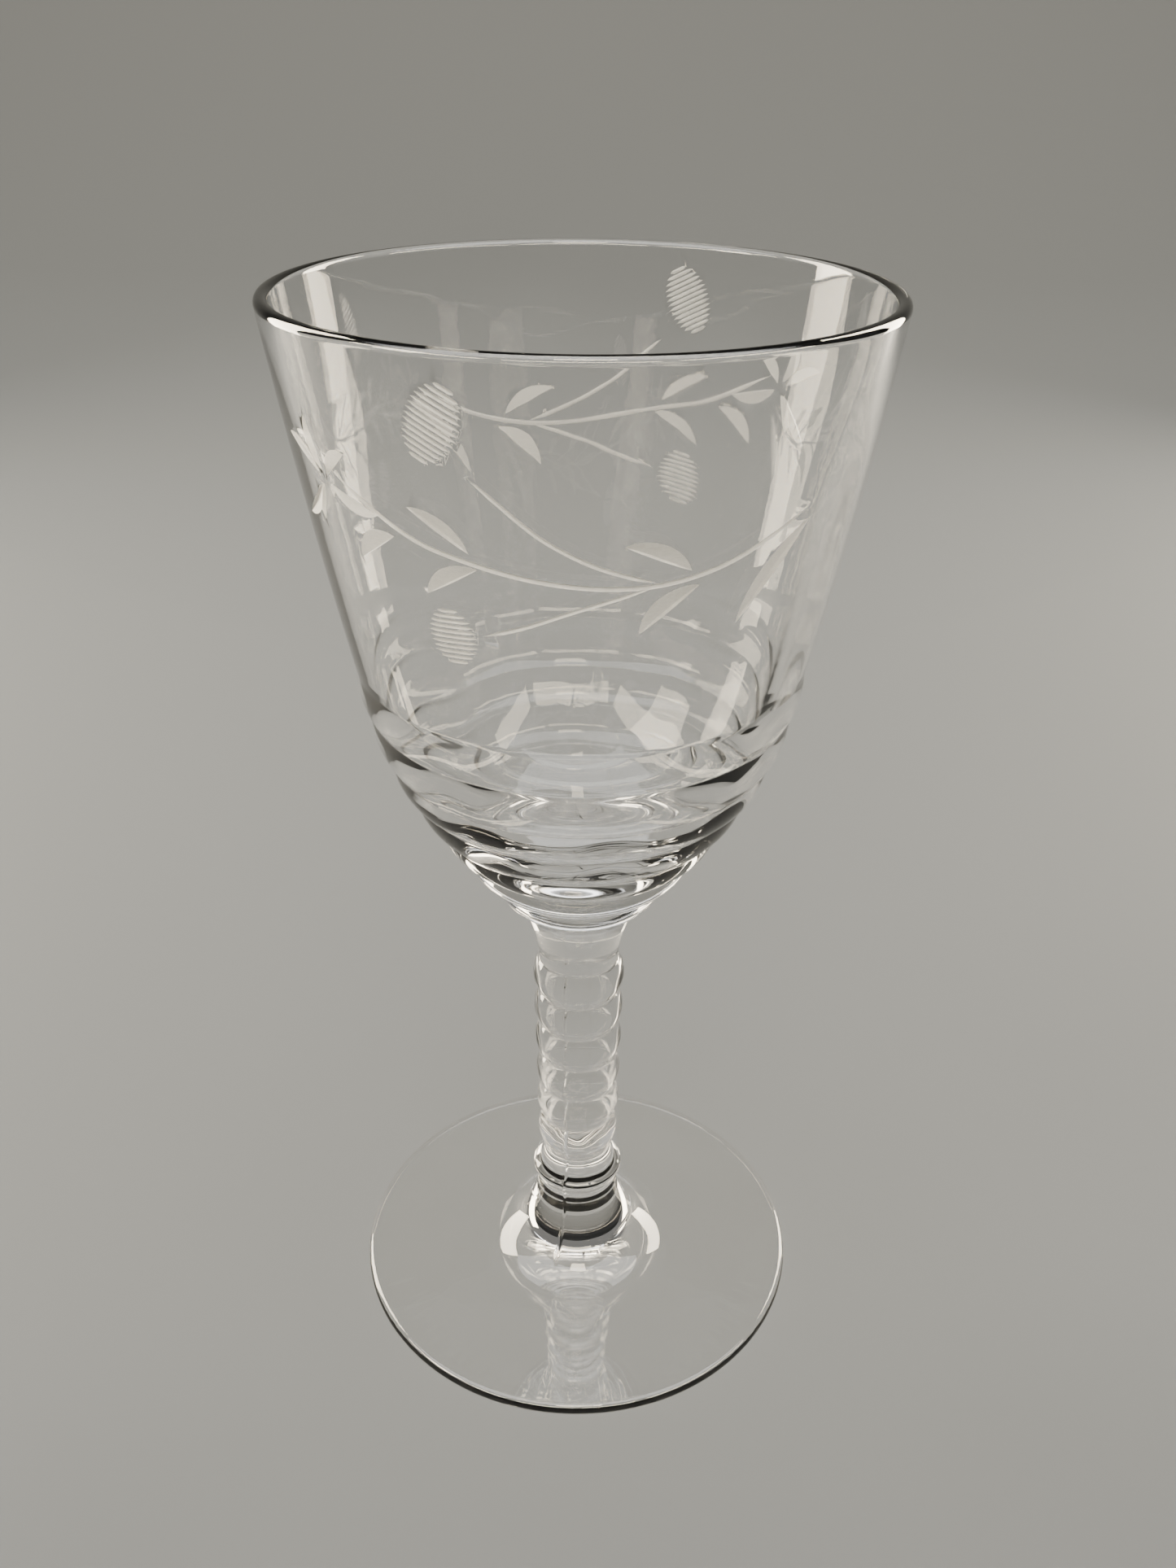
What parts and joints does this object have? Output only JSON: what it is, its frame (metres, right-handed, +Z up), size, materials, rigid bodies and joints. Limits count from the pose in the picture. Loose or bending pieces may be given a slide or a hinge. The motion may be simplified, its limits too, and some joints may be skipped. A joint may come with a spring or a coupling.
{
  "type": "wine glass",
  "caption": "Clear stem glass with a flared bowl on a ringed base, a stem of round rings with a collar, and a wide round foot that it stands on.",
  "frame": {"origin": "centre of the plane that the foot stands on", "axes": "+Z up along the glass's axis, from the foot to the rim; -Y towards the viewer, +X to the viewer's right"},
  "size_m": [0.0804, 0.0804, 0.165],
  "materials": {
    "bowl_glass": "fire-polished clear glass, with a wheel-cut spray of leaves left grey",
    "stem_glass": "moulded clear glass with a fine seam on two sides",
    "foot_glass": "clear glass, smooth on top and faintly rippled near its edge"
  },
  "bodies": {
    "root": {"bowl": "bowl_glass", "stem": "stem_glass", "foot": "foot_glass"}
  },
  "joints": []
}
